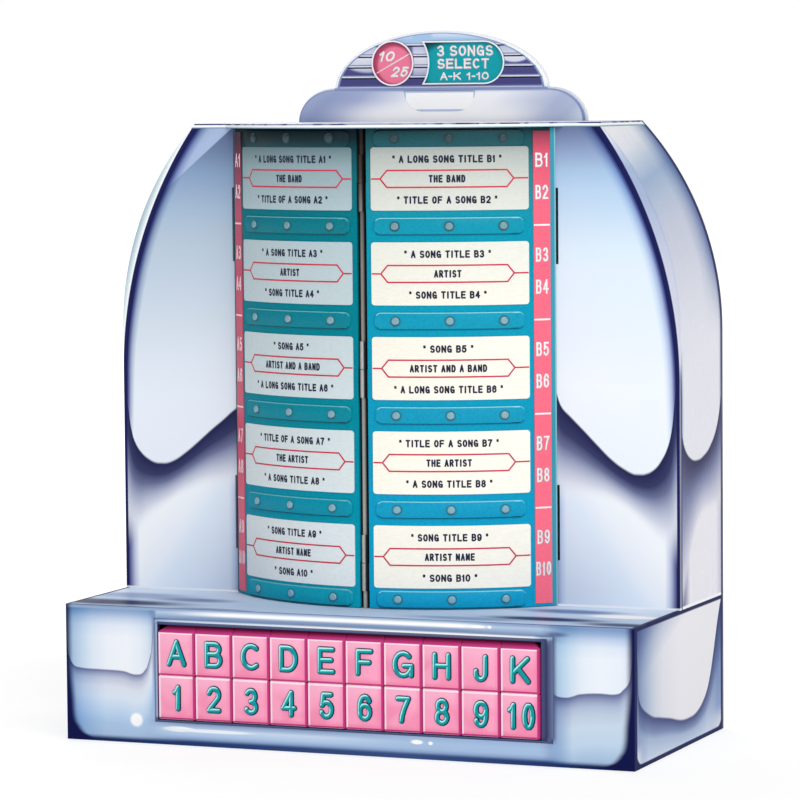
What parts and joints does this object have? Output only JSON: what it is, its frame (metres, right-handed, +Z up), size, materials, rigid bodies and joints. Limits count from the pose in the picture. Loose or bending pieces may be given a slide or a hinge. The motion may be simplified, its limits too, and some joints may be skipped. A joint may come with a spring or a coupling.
{
  "type": "tabletop jukebox",
  "caption": "Diner-style tabletop song selector: arched cabinet on a wide base with push keys and two hinged title leaves.",
  "frame": {"origin": "centre of the footprint, on the table under the feet", "axes": "+X to the right as seen from the keys, +Y from the keys to the back panel, +Z up"},
  "size_m": [0.25, 0.116, 0.2948],
  "materials": {
    "painted_steel": "gloss airbrushed enamel with chrome-like shading",
    "bezel_enamel": "gloss blue enamel",
    "back_enamel": "satin pale enamel",
    "crest_enamel": "gloss airbrushed enamel",
    "floor_steel": "satin dark enamel",
    "black_enamel": "satin black enamel",
    "white_enamel": "satin white enamel",
    "leaf_enamel": "satin teal enamel",
    "zinc_steel": "zinc plated",
    "spring_steel": "drawn wire",
    "polished_steel": "ground and polished",
    "rivet_aluminium": "pressed",
    "key_plastic": "moulded pink",
    "pink_plastic": "moulded pink",
    "teal_plastic": "moulded teal",
    "white_plastic": "moulded white",
    "guide_plastic": "moulded grey",
    "switch_plastic": "moulded black",
    "circuit_board": "laminate",
    "title_card": "printed card under a clear film",
    "index_strip": "printed strip",
    "cone_paper": "pressed paper",
    "lamp_glass": "opal coated tube",
    "foot_rubber": "moulded"
  },
  "bodies": {
    "cabinet": {"base_housing": "painted_steel", "base_floor": "floor_steel", "feet": "foot_rubber", "floor_screws": "zinc_steel", "key_bezel": "bezel_enamel", "key_guide": "guide_plastic", "key_springs": "spring_steel", "switch_board": "circuit_board", "key_switches": "switch_plastic", "cheek_left": "painted_steel", "cheek_right": "painted_steel", "side_band_left": "painted_steel", "side_band_right": "painted_steel", "back_panel": "back_enamel", "back_screws": "zinc_steel", "hood": "painted_steel", "dome_plate": "crest_enamel", "shoulder_plate": "crest_enamel", "price_disc": "pink_plastic", "price_window": "teal_plastic", "coin_plate": "white_plastic", "spine_pin": "polished_steel", "spine_post": "black_enamel", "light_box": "white_enamel", "lamp_tube": "lamp_glass", "lamp_holders": "white_plastic", "speaker_frame": "black_enamel", "speaker_cone": "cone_paper", "sound_board": "circuit_board", "cable_gland": "foot_rubber"},
    "left_leaf": {"left_leaf": "leaf_enamel", "left_rails": "leaf_enamel", "left_rivets": "rivet_aluminium", "left_cards": "title_card", "left_index": "index_strip"},
    "right_leaf": {"right_leaf": "leaf_enamel", "right_rails": "leaf_enamel", "right_rivets": "rivet_aluminium", "right_cards": "title_card", "right_index": "index_strip"},
    "key_a": {"key_a": "key_plastic"},
    "key_b": {"key_b": "key_plastic"},
    "key_c": {"key_c": "key_plastic"},
    "key_d": {"key_d": "key_plastic"},
    "key_e": {"key_e": "key_plastic"},
    "key_f": {"key_f": "key_plastic"},
    "key_g": {"key_g": "key_plastic"},
    "key_h": {"key_h": "key_plastic"},
    "key_j": {"key_j": "key_plastic"},
    "key_k": {"key_k": "key_plastic"},
    "key_1": {"key_1": "key_plastic"},
    "key_2": {"key_2": "key_plastic"},
    "key_3": {"key_3": "key_plastic"},
    "key_4": {"key_4": "key_plastic"},
    "key_5": {"key_5": "key_plastic"},
    "key_6": {"key_6": "key_plastic"},
    "key_7": {"key_7": "key_plastic"},
    "key_8": {"key_8": "key_plastic"},
    "key_9": {"key_9": "key_plastic"},
    "key_10": {"key_10": "key_plastic"}
  },
  "joints": [
    {"name": "left_leaf_hinge", "type": "hinge", "parent": "cabinet", "child": "left_leaf", "pos_m": [0, -0.0327, 0.156], "axis": [0, 0, 1], "range_deg": [0, 60]},
    {"name": "right_leaf_hinge", "type": "hinge", "parent": "cabinet", "child": "right_leaf", "pos_m": [0, -0.0327, 0.156], "axis": [0, 0, -1], "range_deg": [0, 60]},
    {"name": "key_a_press", "type": "slide", "parent": "cabinet", "child": "key_a", "axis": [0, 1, 0], "range_m": [0, 0.003], "stiffness_N_per_m": 200, "springref_m": -0.003, "deforming": ["key_springs"]},
    {"name": "key_b_press", "type": "slide", "parent": "cabinet", "child": "key_b", "axis": [0, 1, 0], "range_m": [0, 0.003], "stiffness_N_per_m": 200, "springref_m": -0.003, "deforming": ["key_springs"]},
    {"name": "key_c_press", "type": "slide", "parent": "cabinet", "child": "key_c", "axis": [0, 1, 0], "range_m": [0, 0.003], "stiffness_N_per_m": 200, "springref_m": -0.003, "deforming": ["key_springs"]},
    {"name": "key_d_press", "type": "slide", "parent": "cabinet", "child": "key_d", "axis": [0, 1, 0], "range_m": [0, 0.003], "stiffness_N_per_m": 200, "springref_m": -0.003, "deforming": ["key_springs"]},
    {"name": "key_e_press", "type": "slide", "parent": "cabinet", "child": "key_e", "axis": [0, 1, 0], "range_m": [0, 0.003], "stiffness_N_per_m": 200, "springref_m": -0.003, "deforming": ["key_springs"]},
    {"name": "key_f_press", "type": "slide", "parent": "cabinet", "child": "key_f", "axis": [0, 1, 0], "range_m": [0, 0.003], "stiffness_N_per_m": 200, "springref_m": -0.003, "deforming": ["key_springs"]},
    {"name": "key_g_press", "type": "slide", "parent": "cabinet", "child": "key_g", "axis": [0, 1, 0], "range_m": [0, 0.003], "stiffness_N_per_m": 200, "springref_m": -0.003, "deforming": ["key_springs"]},
    {"name": "key_h_press", "type": "slide", "parent": "cabinet", "child": "key_h", "axis": [0, 1, 0], "range_m": [0, 0.003], "stiffness_N_per_m": 200, "springref_m": -0.003, "deforming": ["key_springs"]},
    {"name": "key_j_press", "type": "slide", "parent": "cabinet", "child": "key_j", "axis": [0, 1, 0], "range_m": [0, 0.003], "stiffness_N_per_m": 200, "springref_m": -0.003, "deforming": ["key_springs"]},
    {"name": "key_k_press", "type": "slide", "parent": "cabinet", "child": "key_k", "axis": [0, 1, 0], "range_m": [0, 0.003], "stiffness_N_per_m": 200, "springref_m": -0.003, "deforming": ["key_springs"]},
    {"name": "key_1_press", "type": "slide", "parent": "cabinet", "child": "key_1", "axis": [0, 1, 0], "range_m": [0, 0.003], "stiffness_N_per_m": 200, "springref_m": -0.003, "deforming": ["key_springs"]},
    {"name": "key_2_press", "type": "slide", "parent": "cabinet", "child": "key_2", "axis": [0, 1, 0], "range_m": [0, 0.003], "stiffness_N_per_m": 200, "springref_m": -0.003, "deforming": ["key_springs"]},
    {"name": "key_3_press", "type": "slide", "parent": "cabinet", "child": "key_3", "axis": [0, 1, 0], "range_m": [0, 0.003], "stiffness_N_per_m": 200, "springref_m": -0.003, "deforming": ["key_springs"]},
    {"name": "key_4_press", "type": "slide", "parent": "cabinet", "child": "key_4", "axis": [0, 1, 0], "range_m": [0, 0.003], "stiffness_N_per_m": 200, "springref_m": -0.003, "deforming": ["key_springs"]},
    {"name": "key_5_press", "type": "slide", "parent": "cabinet", "child": "key_5", "axis": [0, 1, 0], "range_m": [0, 0.003], "stiffness_N_per_m": 200, "springref_m": -0.003, "deforming": ["key_springs"]},
    {"name": "key_6_press", "type": "slide", "parent": "cabinet", "child": "key_6", "axis": [0, 1, 0], "range_m": [0, 0.003], "stiffness_N_per_m": 200, "springref_m": -0.003, "deforming": ["key_springs"]},
    {"name": "key_7_press", "type": "slide", "parent": "cabinet", "child": "key_7", "axis": [0, 1, 0], "range_m": [0, 0.003], "stiffness_N_per_m": 200, "springref_m": -0.003, "deforming": ["key_springs"]},
    {"name": "key_8_press", "type": "slide", "parent": "cabinet", "child": "key_8", "axis": [0, 1, 0], "range_m": [0, 0.003], "stiffness_N_per_m": 200, "springref_m": -0.003, "deforming": ["key_springs"]},
    {"name": "key_9_press", "type": "slide", "parent": "cabinet", "child": "key_9", "axis": [0, 1, 0], "range_m": [0, 0.003], "stiffness_N_per_m": 200, "springref_m": -0.003, "deforming": ["key_springs"]},
    {"name": "key_10_press", "type": "slide", "parent": "cabinet", "child": "key_10", "axis": [0, 1, 0], "range_m": [0, 0.003], "stiffness_N_per_m": 200, "springref_m": -0.003, "deforming": ["key_springs"]}
  ]
}
